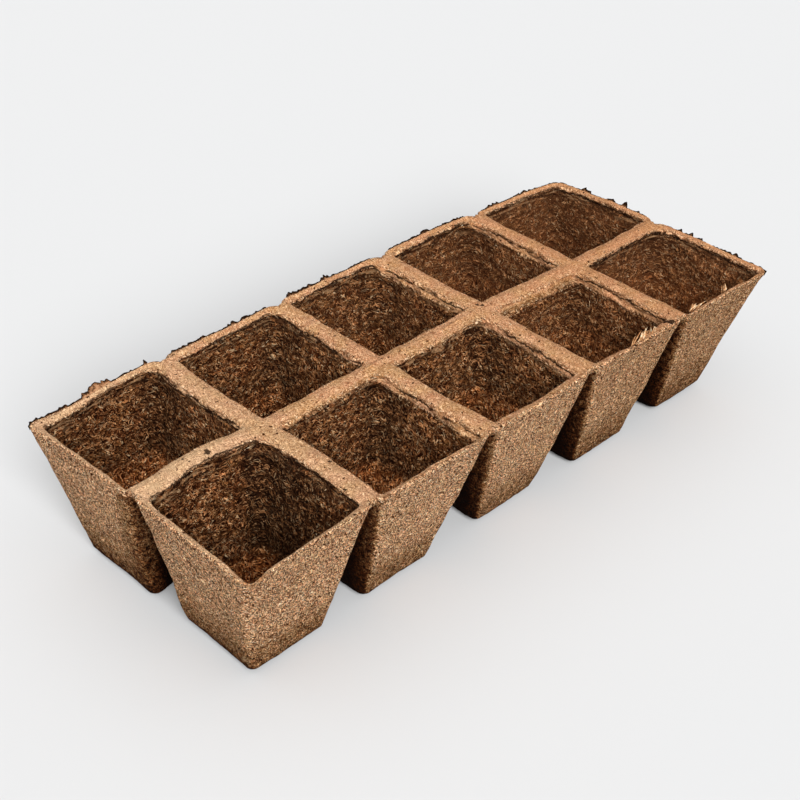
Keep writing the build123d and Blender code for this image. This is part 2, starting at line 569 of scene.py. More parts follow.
def wall_shade(levels, joined, place):
    """How much light is left for the outer fibres, painted into their colour as shade: less near the ground
    and far less between two pots.
    """
    angle = (SIDE + CORNER) * math.pi / 2
    straight = (outer_half(MIDDLE_LEVEL) - OUTER_RADIUS) * (CORNER == 0)
    from_corner = (1 - np.abs(ALONG)) * straight
    first_far_pot = joined[3] and not joined[2]
    corner_shade = FIRST_CORNER_SHADE if first_far_pot else CORNER_SHADE
    facing = np.zeros(SAMPLE_COUNT)
    for side in range(4):
        if joined[side]:
            toward = smooth_step(0.3, 0.95, np.cos(angle - side * math.pi / 2))
            facing += toward * lerp(corner_shade, BETWEEN_SHADE, smooth_step(0, CORNER_REACH, from_corner))
    between = np.minimum(facing, 1) * smooth_step(HEIGHT - 1, HEIGHT - 4, levels)
    west = smooth_step(0.5, 0.95, np.cos(angle - math.pi))
    foot = low_shade(FOOT_SHADES, levels) + west * low_shade(WEST_SHADES, levels)
    far_end = FAR_END_SHADE * smooth_step(-40, 80, place)
    shade = (1 - np.minimum(foot, MOST_FOOT_SHADE)) * (1 - between) * (1 - far_end)
    if first_far_pot:
        to_gap = np.where(SIDE == 2, 1 - ALONG, 1 + ALONG) * straight
        beside = BESIDE_SHADE * np.exp(-(to_gap / lerp(*BESIDE_REACHES, levels / HEIGHT)) ** 2)
        shade = shade * (1 - beside * ((SIDE >= 2) & (levels < HEIGHT - WEB_DEPTH)))
    return shade


def grid_normals(grid):
    """Outward normals of a closed grid of points."""
    down = np.roll(grid, -1, axis=0) - np.roll(grid, 1, axis=0)
    around = np.roll(grid, -1, axis=1) - np.roll(grid, 1, axis=1)
    normals = np.cross(around, down)
    return normals / np.maximum(np.linalg.norm(normals, axis=2), 1e-9)[:, :, None]


def surface_noise(points, felt, skin):
    """How far the surface stands out of its smooth form."""
    broad = rough(points, 11, 11, 3) * 0.3
    felt_relief = felt * rough(points, 6, 31, 2) * 0.3
    fine_outside = noise(points, 1.7, 21) * 0.07 + noise(points, 0.9, 22) * 0.05
    return broad + felt_relief + (1 - felt) * fine_outside + skin * noise(points, 3.5, 41) * 0.12


# The lumps, ropes and folds of the felt: their length, their height and how far they stand out
LUMPS = (9.0, 4.0, 0.55)
ROPES = (5.0, 1.9, 0.4)
FOLDS = (7.0, 1.1, 0.5)

# Steps that give each pot and each column of pots a felt of its own
SEED_STEP = 7.3
RUN_STEP = 211.0


def felt_place(run, below, seed, form):
    """Places in the noise, stretched to the length and height of a form."""
    return np.stack([run / form[0], below / form[1], np.full_like(run, seed * SEED_STEP)], axis=1)


def felt_noise(run, below, seed):
    """Relief of the felt: lumps and ropes of fibre that lie along the walls."""
    lumps = rough(felt_place(run, below, seed, LUMPS), 1.0, 61, 2) * LUMPS[2]
    return lumps + noise(felt_place(run, below, seed, ROPES), 1.0, 71) * ROPES[2]


def fold_noise(run, below, seed):
    """Relief of the folds that lie along the rim where the felt was pressed over it."""
    zone = smooth_step(0.6, 1.6, below) * (1 - smooth_step(4.0, 6.5, below))
    return zone * noise(felt_place(run, below, seed, FOLDS), 1.0, 51) * FOLDS[2]


def joined_sides(column, row):
    """Whether a pot's east, north, west and south sides have a neighbour."""
    return column < COLUMN_COUNT - 1, row < 1, column > 0, row > 0


def pot_grid(name, column, row):
    """The rows of points of one pot, its attributes, which points are on a tear line, and its edge row."""
    joined = joined_sides(column, row)
    rows, first_edge, last_edge = pot_rows(name, joined)
    centre = np.array([(column - (COLUMN_COUNT - 1) / 2) * PITCH, (row - 0.5) * PITCH])
    levels = np.array(rows.levels)
    grid = np.concatenate([np.array(rows.rings) + centre, levels[:, :, None]], axis=2)
    normals = grid_normals(grid)
    torn = np.zeros(levels.shape, bool)
    torn[first_edge:last_edge + 1] = on_tear_line(joined)
    normals[torn] = (0, 0, 1)
    points = grid.reshape(-1, 3)
    felt, skin, below = (np.array(values).ravel() for values in (rows.felt, rows.skin, rows.below))
    inside = felt + skin > 0

    def around(ring_values):
        """Values of a ring on every row of the hollow and the rim, and 0 on the others."""
        return np.tile(ring_values, len(levels)) * inside

    run = np.tile(ring_run(), len(levels)) + RUN_STEP * column
    north, east = around(wall_share("north")), around(wall_share("east"))
    far = np.maximum(north, east)
    foot_level = FLOOR_THICKNESS + HOLLOW_BEVEL
    wall = felt * smooth_step(foot_level, foot_level + 2, points[:, 2])
    seed = column + COLUMN_COUNT * row
    relief = surface_noise(points, felt, skin) + wall * felt_noise(run, below, seed)
    relief = (relief + far * fold_noise(run, below, seed)) * smooth_step(0.0, 2.0, points[:, 2])
    points = leaned(pushed(points + normals.reshape(-1, 3) * relief[:, None]), BASE_LEANS[name])
    points[:, 2] = np.maximum(points[:, 2], 0)

    corner_shade_reach, corner_shade_strength = PAINTED_CORNER_SHADES[name]
    painted_corner_shade = np.maximum(around(corner_shade_painted(corner_shade_reach)) * corner_shade_strength, around(painted_corner_line()) * 0.9)
    reach_north, reach_east = SKIN_REACH[name]
    lip_shadow_north, lip_shadow_east = LIP_SHADOWS[name]
    deep_start, deep_strength = PAINTED_DEEP_LIGHTS[name]
    attributes = {
        "felt": felt, "skin": skin, "below": below, "run": run, "far": far, "east": east, "wall": wall,
        "reach": NEAR_REACH + (reach_north - NEAR_REACH) * north + (reach_east - NEAR_REACH) * east,
        "fade": SHORT_FADE + north * (SKIN_FADE.get(name, SHORT_FADE) - SHORT_FADE),
        "shade": np.where(inside, 1.0, wall_shade(levels, joined, grid[:, :, 0]).ravel()),
        "painted_corner_shade": painted_corner_shade * felt * smooth_step(0.5, 5, below),
        "lip_shadow": north * lip_shadow_north + east * lip_shadow_east,
        "calm": np.full_like(run, CALM.get(name, 0.0)),
        "deep": felt * deep_strength * smooth_step(deep_start, deep_start + PAINTED_LIGHT_FADE, below),
    }
    return points.reshape(grid.shape), attributes, torn, first_edge


def grid_faces(row_count):
    """Quads of a grid that closes on itself both ways."""
    v, u = np.meshgrid(np.arange(row_count), np.arange(SAMPLE_COUNT), indexing="ij")
    here, below = v * SAMPLE_COUNT, (v + 1) % row_count * SAMPLE_COUNT
    following = (u + 1) % SAMPLE_COUNT
    corners = (here + u, below + u, below + following, here + following)
    return np.stack([c.ravel() for c in corners], axis=1)


def add_mesh(name, points, faces, material, attributes=None):
    """A smooth-shaded mesh object from points in millimetres."""
    mesh = bpy.data.meshes.new(name)
    mesh.from_pydata((points * METRES).tolist(), [], faces.tolist() if hasattr(faces, "tolist") else faces)
    mesh.shade_smooth()
    for key, values in (attributes or {}).items():
        layer = mesh.attributes.new(key, "FLOAT", "POINT")
        layer.data.foreach_set("value", np.asarray(values, dtype=np.float32))
    mesh.materials.append(material)
    thing = bpy.data.objects.new(name, mesh)
    bpy.context.scene.collection.objects.link(thing)
    return thing


def mark_torn_edges(mesh, torn):
    """Keeps the edge between a web's top and its torn face sharp."""
    pairs = np.empty(len(mesh.edges) * 2, dtype=np.int32)
    mesh.edges.foreach_get("vertices", pairs)
    pairs = pairs.reshape(-1, 2)
    flags = torn[pairs[:, 0]] & torn[pairs[:, 1]]
    layer = mesh.attributes.new("sharp_edge", "BOOLEAN", "EDGE")
    layer.data.foreach_set("value", flags)


def make_pot(name, column, row, material):
    """One pot. Returns its grid, attributes and the number of the row where its outer edge starts."""
    grid, attributes, torn, first_edge = pot_grid(name, column, row)
    pot = add_mesh("fibre_pot_" + name, grid.reshape(-1, 3), grid_faces(len(grid)), material, attributes)
    edge_top = np.zeros(grid.shape[:2], bool)
    edge_top[first_edge] = torn[first_edge]
    mark_torn_edges(pot.data, edge_top.ravel())
    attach(pot, "root")
    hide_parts("pot_" + name)
    return grid, attributes, first_edge


# Loose fibres and torn flash, which lie on the pots


STRAND_POINTS = 5
STRAND_CORNERS = 3


def surface_at(grid, row, sample):
    """Points between those of a grid, at fractional row and sample numbers."""
    row = np.clip(row, 0, len(grid) - 1.01)
    r, s = np.floor(row).astype(int), np.floor(sample).astype(int)
    u, v = (row - r)[:, None], (sample - s)[:, None]
    here, following = s % SAMPLE_COUNT, (s + 1) % SAMPLE_COUNT
    upper = lerp(grid[r, here], grid[r, following], v)
    return lerp(upper, lerp(grid[r + 1, here], grid[r + 1, following], v), u)


def strand_paths(grid, row, sample, angle, length, lift, bend):
    """Lines that lie on a grid round their middles, with their ends near it and their middles lifted."""
    normals = grid_normals(grid)
    row_size = np.linalg.norm(np.diff(grid, axis=0), axis=2).mean(axis=1)
    sample_size = np.linalg.norm(np.diff(grid, axis=1), axis=2).mean(axis=1)
    share = np.linspace(-1, 1, STRAND_POINTS)
    across = share * np.sin(angle)[:, None] + bend[:, None] * (1 - share * share)
    half = length[:, None] / 2
    along = share * np.cos(angle)[:, None]
    rows = row[:, None] + across * half / np.maximum(row_size[row], 0.2)[:, None]
    samples = sample[:, None] + along * half / np.maximum(sample_size[row], 0.3)[:, None]
    paths = surface_at(grid, rows.ravel(), samples.ravel())
    out = surface_at(normals, rows.ravel(), samples.ravel())
    above = 0.06 + lift[:, None] * (1 - share * share)
    return (paths + out * above.ravel()[:, None]).reshape(len(row), STRAND_POINTS, 3)


def tube_faces(first, ring_count, corners):
    """Faces of a closed tube, whose rings of vertices follow each other from a first number on."""
    faces = []
    last = first + (ring_count - 1) * corners
    for a in range(first, last, corners):
        for k in range(corners):
            b = (k + 1) % corners
            faces.append((a + k, a + b, a + corners + b, a + corners + k))
    faces.append(tuple(first + k for k in reversed(range(corners))))
    faces.append(tuple(last + k for k in range(corners)))
    return faces


def tubes(paths, radius):
    """Closed tapered tubes along lines of points: their vertices and faces."""
    steps = np.gradient(paths, axis=1)
    steps /= np.maximum(np.linalg.norm(steps, axis=2), 1e-6)[:, :, None]
    side = np.cross(steps, (0.31, 0.22, 0.92))
    side /= np.maximum(np.linalg.norm(side, axis=2), 1e-6)[:, :, None]
    other = np.cross(steps, side)
    taper = radius[:, None] * (1 - 0.7 * np.abs(np.linspace(-1, 1, STRAND_POINTS)) ** 3)
    rings = []
    for k in range(STRAND_CORNERS):
        turn = 2 * math.pi * k / STRAND_CORNERS
        rings.append(paths + taper[:, :, None] * (math.cos(turn) * side + math.sin(turn) * other))
    vertices = np.stack(rings, axis=2).reshape(-1, 3)
    faces = []
    for first in range(0, len(vertices), STRAND_POINTS * STRAND_CORNERS):
        faces += tube_faces(first, STRAND_POINTS, STRAND_CORNERS)
    return vertices, faces


FELT_STRANDS = 700
RIM_STRANDS = 130
WALL_STRANDS = 60

# Tufts of straw that stand out over an opening: the start of each on the near rim, its reach and its count
STRAW = {
    "b4": ((48.5, -47.3, 9.0, 3.2, 8), (52.5, -47.3, 6.0, 3.0, 7), (58.0, -47.3, 4.0, 2.6, 5)),
    "b5": ((81.5, -47.6, 6.5, 0.9, 7), (101.5, -47.4, 4.0, 2.6, 8)),
}
STRAW_SPREAD = (1.2, 0.25)
STRAW_LEVELS = (49.7, 50.9)

# The ragged lip at the near corner of the first pot: its place, its reach and its number of fibres
FRAYED = {"b1": (-121.8, -46.8, 4.0, 46)}

# The lowest and highest that a fibre may reach
FIBRE_LEVELS = (0.2, HEIGHT + 1.4)


def fibre_zones(name, grid, attributes):
    """Where a pot's loose fibres lie, and for each zone their count, the spread of their directions, and
    their lengths, lifts, radii and tones."""
    keys = ("felt", "skin", "shade", "east")
    felt, skin, shade, east = (attributes[key].reshape(grid.shape[:2]) for key in keys)
    level = grid[:, :, 2]
    free_wall = (felt + skin < 0.05) & (level > 9) & (level < 45) & (shade > 0.55)
    zones = [
        ((felt > 0.5) & (level > 9), FELT_STRANDS, 0.5, (2.5, 8.0), (0.1, 0.7), (0.1, 0.2), (0.2, 1.0)),
        ((skin > 0.5) & (felt < 0.6), RIM_STRANDS, 1.6, (1.2, 3.6), (0.0, 0.2), (0.08, 0.14), (0.4, 1.0)),
        (free_wall, WALL_STRANDS, 1.6, (1.5, 4.0), (0.0, 0.05), (0.08, 0.13), (0.55, 1.0)),
    ]
    if name == "b1":
        east_wall = (felt > 0.5) & (east > 0.5) & (level > 12)
        zones.append((east_wall, 260, 0.45, (3.0, 8.0), (0.1, 0.5), (0.12, 0.2), (0.3, 0.75)))
    if name in FRAYED:
        x, y, reach, count = FRAYED[name]
        near_it = np.hypot(grid[:, :, 0] - x, grid[:, :, 1] - y) < reach
        near_it = near_it & (felt + skin > 0.1) & (level > 46)
        zones.append((near_it, count, 1.6, (1.2, 3.2), (0.0, 0.6), (0.12, 0.2), (0.45, 0.85)))
    return zones


def straw_paths(chance, x, y, dx, dy, count):
    """The straws of one tuft, which rise out of the rim and bend down over the opening."""
    start = np.array([x, y]) + chance.normal(0, 1, (count, 2)) * STRAW_SPREAD
    end = start + np.outer(chance.uniform(0.45, 1.0, count), (dx, dy)) + chance.normal(0, 0.5, (count, 2))
    share = np.linspace(0, 1, STRAND_POINTS)
    plan = start[:, None] + (end - start)[:, None] * share[:, None]
    rise = np.outer(chance.uniform(0.3, 1.0, count), np.sin(share * math.pi * 0.7))
    return np.concatenate([plan, lerp(*STRAW_LEVELS, rise)[:, :, None]], axis=2)


def make_fibres(name, grid, attributes, seed, material):
    """Loose fibres of one pot: many in its hollow, some on its rim and a few on its free outer walls."""
    chance = np.random.default_rng(seed + 100)
    paths, radii, tones = [], [], []
    for here, count, spread, lengths, lifts, sizes, colours in fibre_zones(name, grid, attributes):
        row_places, sample_places = np.nonzero(here)
        area = np.linalg.norm(np.diff(grid, axis=0, append=grid[:1]), axis=2)[here]
        picked = chance.choice(len(row_places), count, p=area / area.sum())
        row = row_places[picked]
        sample = sample_places[picked] + chance.uniform(0, 1, count)
        angle = chance.normal(0, spread, count)
        length = chance.uniform(*lengths, count)
        lift = chance.uniform(0, 1, count) ** 2 * (lifts[1] - lifts[0]) + lifts[0]
        paths.append(strand_paths(grid, row, sample, angle, length, lift, chance.normal(0, 0.12, count)))
        radii.append(chance.uniform(*sizes, count))
        tones.append(chance.uniform(*colours, count))
    for *tuft, count in STRAW.get(name, ()):
        paths.append(straw_paths(chance, *tuft, count))
        radii.append(chance.uniform(0.13, 0.24, count))
        tones.append(chance.uniform(0.72, 0.95, count))
    vertices, faces = tubes(np.concatenate(paths), np.concatenate(radii))
    vertices[:, 2] = np.clip(vertices[:, 2], *FIBRE_LEVELS)
    tone = np.repeat(np.concatenate(tones), STRAND_POINTS * STRAND_CORNERS)
    fibres = add_mesh("fibres_" + name, vertices, faces, material, {"tone": tone})
    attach(fibres, "root")


# Torn flash along the far sides: the place of each flake along X or Y, its half-width and its height
FAR_X = 124
FAR_Y = 49
NORTH_FLAKES = (
    (-122, 0.9, 0.6), (-116, 0.8, 0.4), (-104, 1.8, 1.2), (-100, 3.0, 1.75), (-96, 1.6, 1.4),
    (-80, 1.2, 1.3), (-63, 1.0, 0.5), (-45, 2.4, 0.7), (-34, 1.0, 0.8), (-30, 1.3, 0.5),
    (-19.5, 2.6, 1.2), (-14, 2.0, 0.9), (-10.5, 1.2, 1.4), (-2, 2.6, 1.5), (12, 1.2, 0.6),
    (31, 1.3, 1.5), (37, 0.8, 0.6), (42, 1.0, 0.7), (50, 2.6, 1.6), (56, 2.0, 1.1),
    (66, 2.4, 0.8), (88, 2.4, 0.9), (106, 1.2, 0.8),
)
EAST_FLAKES = (
    (34, 2.4, 1.2), (22, 2.4, 1.2), (15.5, 1.7, 2.9), (9, 1.6, 1.1), (-2, 2.4, 1.4), (-11, 1.6, 1.3),
    (-16, 1.6, 2.6), (-20, 1.8, 1.6), (-26, 1.2, 2.6), (-32, 1.2, 1.8), (-36, 1.8, 2.3), (-49, 1.2, 1.75),
)
FLAKES = [(x, FAR_Y, width, tall) for x, width, tall in NORTH_FLAKES]
FLAKES += [(FAR_X, y, width, tall) for y, width, tall in EAST_FLAKES]

# The most that the flash may stand out: on the north side, and on the east side short of its near end
MOST_FLAKE = 1.75
MOST_EAST_FLAKE = 2.9
EAST_END = -44

# The one pale stretch of the flash: its place and reach along X
PALE_X = -100
PALE_REACH = 7

# The step between points of the flash, its distance from the ends of an edge, and over how far it tapers
FLASH_STEP = 0.32
FLASH_MARGIN = 0.3
FLASH_TAPER = 0.8

# The farthest that the flash may reach along Y and up
FLASH_Y = 52.3
FLASH_TOP = HEIGHT + 1.42


def far_span(joined):
    """The samples of the rim's free far sides, with the free corners at their ends, or none."""
    side_run = WALL_SAMPLES + CORNER_SAMPLES
    east, north, west, south = (not side for side in joined)
    samples = []
    if east:
        samples += list(range(-CORNER_SAMPLES if south else 0, WALL_SAMPLES))
    if east and north:
        samples += list(range(WALL_SAMPLES, side_run))
    if north:
        samples += list(range(side_run, side_run + WALL_SAMPLES + (CORNER_SAMPLES if west else 0)))
    return np.array(samples)


def flash_height(edge, pale):
    """How far the flash stands out along an edge: a low fringe and its flakes, both ragged."""
    fine_fringe = 0.35 * np.clip(rough(edge, 1.6, 81, 2), 0, 1)
    broad_fringe = 0.5 * np.clip(rough(edge, 5, 83, 2) - 0.1, 0, 1)
    height = 0.2 + fine_fringe + broad_fringe
    for x, y, width, tall in FLAKES:
        away = np.hypot(edge[:, 0] - x, edge[:, 1] - y)
        height = np.maximum(height, tall * np.clip(1.25 - (away / width) ** 2, 0, 1) ** 0.7)
    return height * (1 + (0.55 - 0.4 * pale) * noise(edge, 0.8, 85))


def make_flash(name, grid, joined, first_edge, material):
    """A ragged fringe of fibre along the far rim of one pot, torn where the mould closed."""
    samples = far_span(joined)
    if len(samples) == 0:
        return
    edge, inner = grid[first_edge, samples], grid[first_edge - 2, samples]
    run = np.concatenate([[0], np.cumsum(np.linalg.norm(np.diff(edge, axis=0), axis=1))])
    fine = np.arange(FLASH_MARGIN, run[-1] - FLASH_MARGIN, FLASH_STEP)
    lines = (edge, inner)
    edge, inner = (np.stack([np.interp(fine, run, line[:, k]) for k in range(3)], axis=1) for line in lines)
    along = np.gradient(edge, axis=0)
    count = len(fine)
    out = np.stack([along[:, 1], -along[:, 0], np.zeros(count)], axis=1)
    out /= np.linalg.norm(out, axis=1)[:, None]

    pale = np.exp(-((edge[:, 0] - PALE_X) / PALE_REACH) ** 2) * (edge[:, 1] > 40)
    height = flash_height(edge, pale) * np.clip(np.minimum(fine, fine[-1] - fine) / FLASH_TAPER, 0.05, 1)
    on_east = (edge[:, 0] > FAR_X - 1) & (edge[:, 1] > EAST_END)
    height = np.minimum(height, np.where(on_east, MOST_EAST_FLAKE, MOST_FLAKE))
    up = np.array([0.0, 0.0, 1.0])
    at_corner = np.exp(-(np.hypot(edge[:, 0] - FAR_X, edge[:, 1] + FAR_Y) / 4) ** 2)
    lean = ((1.1 + 0.5 * noise(edge, 3.0, 87)) * (1 - 0.7 * at_corner))[:, None]
    rise = height[:, None]
    foot_in = lerp(edge, inner, 0.45) - 0.25 * up
    foot_out = edge + 0.05 * out - 0.7 * up
    tip_out = edge + out * (0.12 + rise * lean) + up * rise * 0.72
    tip_in = tip_out - out * 0.35 - up * 0.05 + along * 0.4
    vertices = np.stack([foot_in, foot_out, tip_out, tip_in], axis=1).reshape(-1, 3)
    vertices[:, 1] = np.minimum(vertices[:, 1], FLASH_Y)
    vertices[:, 2] = np.minimum(vertices[:, 2], FLASH_TOP)
    even = np.ones(count)
    # How dark each corner of the flash is: paler at its foot, nearly black at its tip
    flash_darkness = np.stack([0.12 - 0.12 * pale, 0.5 * even, even, 0.9 - 0.5 * pale], axis=1).ravel()
    flash = add_mesh("torn_flash_" + name, vertices, tube_faces(0, count, 4), material, {"flash_darkness": flash_darkness})
    flash.data.shade_flat()
    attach(flash, "root")


# Materials


def linear(red, green, blue):
    """A colour written in 0 to 255 as the eye sees it, as the shader takes it."""
    shares = [c / 255 for c in (red, green, blue)]
    return tuple(c / 12.92 if c <= 0.04045 else ((c + 0.055) / 1.055) ** 2.4 for c in shares) + (1.0,)


class Graph:
    """Short calls that add shader nodes to a material."""

    def __init__(self, name):
        self.material = bpy.data.materials.new(name)
        self.material.use_nodes = True
        self.nodes = self.material.node_tree.nodes
        self.links = self.material.node_tree.links
        self.shader = self.nodes["Principled BSDF"]
        self.place = self.add("ShaderNodeTexCoord").outputs["Object"]

    def add(self, kind, inputs=None, **settings):
        node = self.nodes.new(kind)
        for key, value in settings.items():
            setattr(node, key, value)
        for key, value in (inputs or {}).items():
            self.put(node.inputs[key], value)
        return node

    def put(self, socket, value):
        if isinstance(value, bpy.types.NodeSocket):
            self.links.new(value, socket)
        else:
            socket.default_value = value

    def attribute(self, name):
        return self.add("ShaderNodeAttribute", attribute_name=name).outputs["Fac"]

    def math(self, operation, first, second=0.0, clamp=False):
        inputs = {0: first, 1: second}
        return self.add("ShaderNodeMath", inputs, operation=operation, use_clamp=clamp).outputs[0]

    def plus(self, first, second, clamp=False):
        return self.math("ADD", first, second, clamp)

    def minus(self, first, second):
        return self.math("SUBTRACT", first, second)

    def times(self, product, *factors, clamp=False):
        for factor in factors:
            product = self.math("MULTIPLY", product, factor, clamp)
        return product

    def vector(self, operation, first, second):
        return self.add("ShaderNodeVectorMath", {0: first, 1: second}, operation=operation).outputs[0]

    def combine(self, x, y, z):
        return self.add("ShaderNodeCombineXYZ", {"X": x, "Y": y, "Z": z}).outputs[0]

    def remap(self, value, low, high, to_low=0.0, to_high=1.0):
        inputs = {"Value": value, "From Min": low, "From Max": high, "To Min": to_low, "To Max": to_high}
        return self.add("ShaderNodeMapRange", inputs, clamp=True).outputs["Result"]

    def mix(self, share, first, second, blend="MIX"):
        """A colour between two others. Three plain numbers are a colour in 0 to 255, as the eye sees it."""
        node = self.add("ShaderNodeMix", data_type="RGBA", blend_type=blend)
        self.put(node.inputs["Factor"], share)
        for key, colour in ((6, first), (7, second)):
            plain = isinstance(colour, tuple) and len(colour) == 3
            self.put(node.inputs[key], linear(*colour) if plain else colour)
        return node.outputs[2]

    def blend(self, share, first, second):
        """A plain number between two others."""
        return self.add("ShaderNodeMix", {0: share, 2: first, 3: second}, data_type="FLOAT").outputs[0]

    def vector_mix(self, share, first, second):
        """A vector between two others."""
        return self.add("ShaderNodeMix", {0: share, 4: first, 5: second}, data_type="VECTOR").outputs[1]

    def ramp(self, value, stops):
        """Colours written in 0 to 255 at places from 0 to 1."""
        node = self.add("ShaderNodeValToRGB", {"Fac": value})
        elements = node.color_ramp.elements
        while len(elements) < len(stops):
            elements.new(1.0)
        for element, (place, colour) in zip(elements, stops):
            element.position = place
            element.color = linear(*colour)
        return node.outputs["Color"]

    def noise_at(self, place, scale, detail, roughness=0.5, output="Fac"):
        inputs = {"Vector": place, "Scale": scale, "Detail": detail, "Roughness": roughness}
        return self.add("ShaderNodeTexNoise", inputs).outputs[output]

    def noise(self, size, detail=3, roughness=0.6):
        """Noise with features about one size across, in millimetres."""
        return self.noise_at(self.place, 1 / (size * METRES), detail, roughness)

    def bump(self, strength, depth, height):
        """Relief that only turns the light, as deep as depth, in millimetres."""
        inputs = {"Strength": strength, "Distance": depth * METRES, "Height": height}
        self.put(self.shader.inputs["Normal"], self.add("ShaderNodeBump", inputs).outputs["Normal"])

    def finished(self, colour, roughness, specular=0.5):
        values = {"Base Color": colour, "Roughness": roughness, "Specular IOR Level": specular}
        for key, value in values.items():
            self.put(self.shader.inputs[key], value)
        return self.material


# How each layer of fibres is turned: on the outside in all directions, in the felt roughly along the rim
SKIN_TURNS = ((0.8, 0.6, 0.0), (0.8, -0.6, 0.3), (-0.8, 0.6, -0.4))
FELT_TURNS = ((0.0, 0.35, 0.0), (0.0, -0.3, 0.0), (0.0, 1.0, 0.0))

# The size and strength of the drift that bends the fibres
DRIFT_SIZE = 2.6
DRIFT = 3.0


def woven(g, on_wall, place, scale, stretch):
    """Layers of fibres in several directions, with the topmost one seen: its random value and its height."""
    drift = g.noise_at(g.place, 1 / (DRIFT_SIZE * METRES), 1.0, output="Color")
    drift = g.vector("SUBTRACT", drift, (0.5, 0.5, 0.5))
    place = g.vector("ADD", place, g.vector("MULTIPLY", drift, (DRIFT * METRES,) * 3))
    squeeze = g.combine(1.0, 1.0, g.math("DIVIDE", 1.0, stretch))
    tint, height = None, None
    for skin_turn, felt_turn in zip(SKIN_TURNS, FELT_TURNS):
        turn = g.vector_mix(on_wall, skin_turn, felt_turn)
        laid = g.add("ShaderNodeMapping", {"Vector": place, "Rotation": turn}).outputs[0]
        laid = g.vector("MULTIPLY", laid, squeeze)
        cell = g.add("ShaderNodeTexVoronoi", {"Vector": laid, "Scale": scale}, feature="F1").outputs
        chance = g.add("ShaderNodeSeparateColor", {"Color": cell["Color"]}).outputs
        layer = g.plus(g.remap(cell["Distance"], 0.75, 0.0), g.times(chance["Green"], 0.25))
        if tint is None:
            tint, height = chance["Red"], layer
        else:
            tint = g.blend(g.math("GREATER_THAN", layer, height), tint, chance["Red"])
            height = g.math("MAXIMUM", height, layer)
    return tint, height


# Pits and short tears in the skin of the webs, darkened with painted shade: the place of each along X and Y,
# and its radius
PITS = (
    (-95.6, 0.6, 0.8), (-103.2, 2.3, 0.4), (-71.5, -26.0, 0.5), (26.7, 2.1, 0.5), (25.4, 3.2, 0.4),
    (68.7, -47.1, 1.3), (67.8, -45.8, 0.9), (47.0, -47.6, 0.9), (-77.2, -38.3, 0.3),
)
PIT_EDGE = 0.25
PIT_JAG = 0.5
PIT_SQUEEZE = (1.0, 1.0, 0.4)

# What the colours of the outer walls, and of the felt low in a hollow where light is painted, are multiplied
# by
OUTER_GAIN = (1.49, 1.365, 1.355, 1.0)
PAINTED_LIGHT_GAIN = (2.55, 2.25, 1.98, 1.0)


def lip_skin(g, below, run, tint):
    """Where the skin of the rim ends inside the hollow, fibre by fibre: the depth of its edge, its share,
    the folds there and their jags."""
    fold_place = g.combine(g.times(run, 0.16), below, 3.7)
    fold = g.noise_at(fold_place, 1.0, 3.0, 0.6)
    wander = g.remap(g.noise_at(fold_place, 0.6, 4.0, 0.6), 0.3, 0.7, -0.7, 0.7)
    jag = g.remap(g.noise(1.1, 2, 0.6), 0.3, 0.7, -0.3, 0.3)
    edge = g.plus(g.attribute("reach"), g.plus(wander, jag))
    depth = g.minus(g.plus(edge, g.remap(tint, 0, 1, -0.4, 0.4)), below)
    share = g.remap(g.math("DIVIDE", depth, g.math("MAXIMUM", g.attribute("fade"), 0.1)), -1.0, 1.0)
    return edge, share, fold, jag


def outer_colour(g, tint, gaps, flecks, patches):
    """The outer skin: pale strands, pinkish here and yellowish there, with dark gaps between them, and
    painted shade.
    """
    outer = g.ramp(tint, (
        (0, (80, 42, 20)), (0.3, (204, 147, 100)), (0.6, (252, 200, 152)), (0.85, (255, 230, 180)),
        (1, (255, 244, 214)),
    ))
    outer = g.mix(0.2, outer, g.mix(patches, (244, 190, 148), (232, 202, 146)))
    outer = g.mix(gaps, outer, (56, 27, 10))
    outer = g.mix(flecks, outer, (52, 26, 10))
    specks = g.remap(g.noise(0.5, 1, 0.5), 0.555, 0.62, 0.0, 0.85)
    outer = g.mix(specks, outer, (70, 36, 15))
    # Painted shade: the outer colour darkened where the attribute shade says light is lost, with a ragged
    # edge
    shade = g.attribute("shade")
    ragged = g.times(shade, g.minus(1.0, shade), g.remap(g.noise(1.6), 0.3, 0.7, -1.3, 1.3))
    left = g.ramp(g.plus(shade, ragged, clamp=True), (
        (0, (22, 10, 4)), (0.1, (76, 52, 34)), (0.25, (132, 112, 92)), (0.5, (186, 176, 160)),
        (0.75, (226, 221, 212)), (1, (255, 255, 255)),
    ))
    return g.mix(1.0, g.mix(1.0, outer, left, "MULTIPLY"), OUTER_GAIN, "MULTIPLY")


def rim_colour(g, tint, gaps, flecks, skin_share):
    """The rim: smoother and paler, palest at the near end of the strip, and browner with painted shade at
    its far end.
    """
    pale = g.ramp(tint, (
        (0, (116, 70, 40)), (0.3, (188, 134, 92)), (0.8, (232, 184, 140)), (1, (250, 212, 168)),
    ))
    patches = g.remap(g.noise(8, 2, 0.5), 0.4, 0.6)
    pale = g.mix(0.25, pale, g.mix(patches, (226, 158, 122), (212, 166, 104)))
    along_strip = g.add("ShaderNodeSeparateXYZ", {"Vector": g.place}).outputs["X"]
    pale = g.mix(g.remap(along_strip, -0.06, -0.1, 0.0, 0.45), pale, (240, 206, 166))
    # Painted shade: browner toward the far end of the strip, as on the outer walls
    pale = g.mix(g.remap(along_strip, 0.0, 0.1, 0.0, 0.5), pale, (198, 136, 92))
    pale = g.mix(g.times(gaps, 0.6), pale, (122, 76, 44))
    pale = g.mix(flecks, pale, (70, 38, 18))
    fading = g.times(skin_share, g.minus(1.0, skin_share), 2.6, g.remap(g.attribute("fade"), 0.6, 1.4))
    return g.mix(fading, pale, (176, 124, 66))


